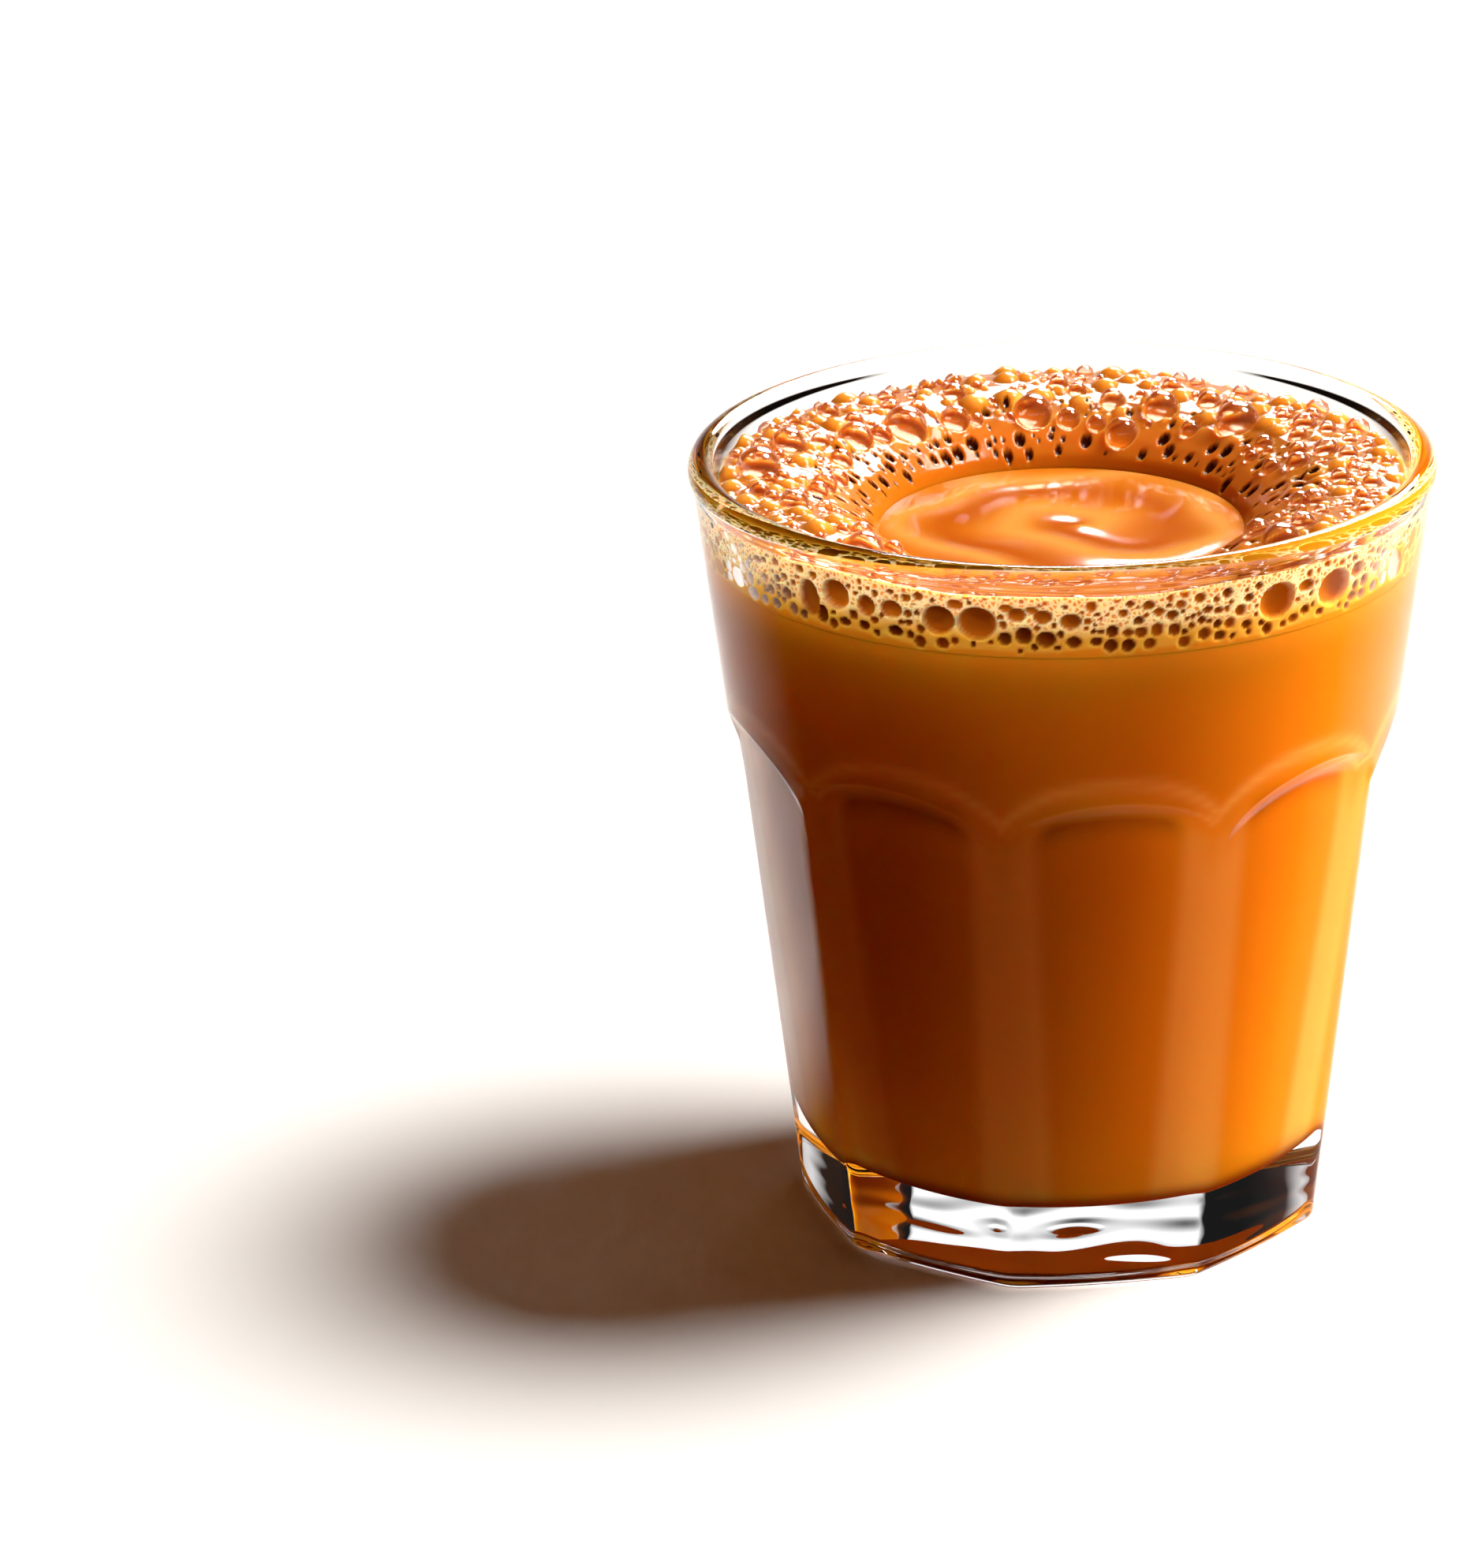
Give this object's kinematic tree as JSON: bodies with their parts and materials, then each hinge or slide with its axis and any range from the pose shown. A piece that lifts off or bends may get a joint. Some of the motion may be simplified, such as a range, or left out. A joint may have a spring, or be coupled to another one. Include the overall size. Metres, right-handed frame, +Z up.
{
  "type": "glass of milky tea",
  "caption": "Panelled pressed-glass tumbler filled with milky spiced tea under a collar of froth, standing on its flat foot.",
  "frame": {"origin": "centre of the foot, on the surface that the glass stands on", "axes": "+Z up along the axis of the glass, -Y through the middle of one panel"},
  "size_m": [0.0836, 0.0836, 0.09],
  "materials": {
    "clear_glass": "pressed and fire-polished, smooth and clear",
    "milky_tea": "opaque milky liquid, glossy on its open surface",
    "froth": "fine wet foam with open cells",
    "bubble_film": "thin wet glossy film"
  },
  "bodies": {
    "root": {"glass": "clear_glass", "chai": "milky_tea", "froth_collar": "froth", "froth_bubbles": "bubble_film"}
  },
  "joints": []
}
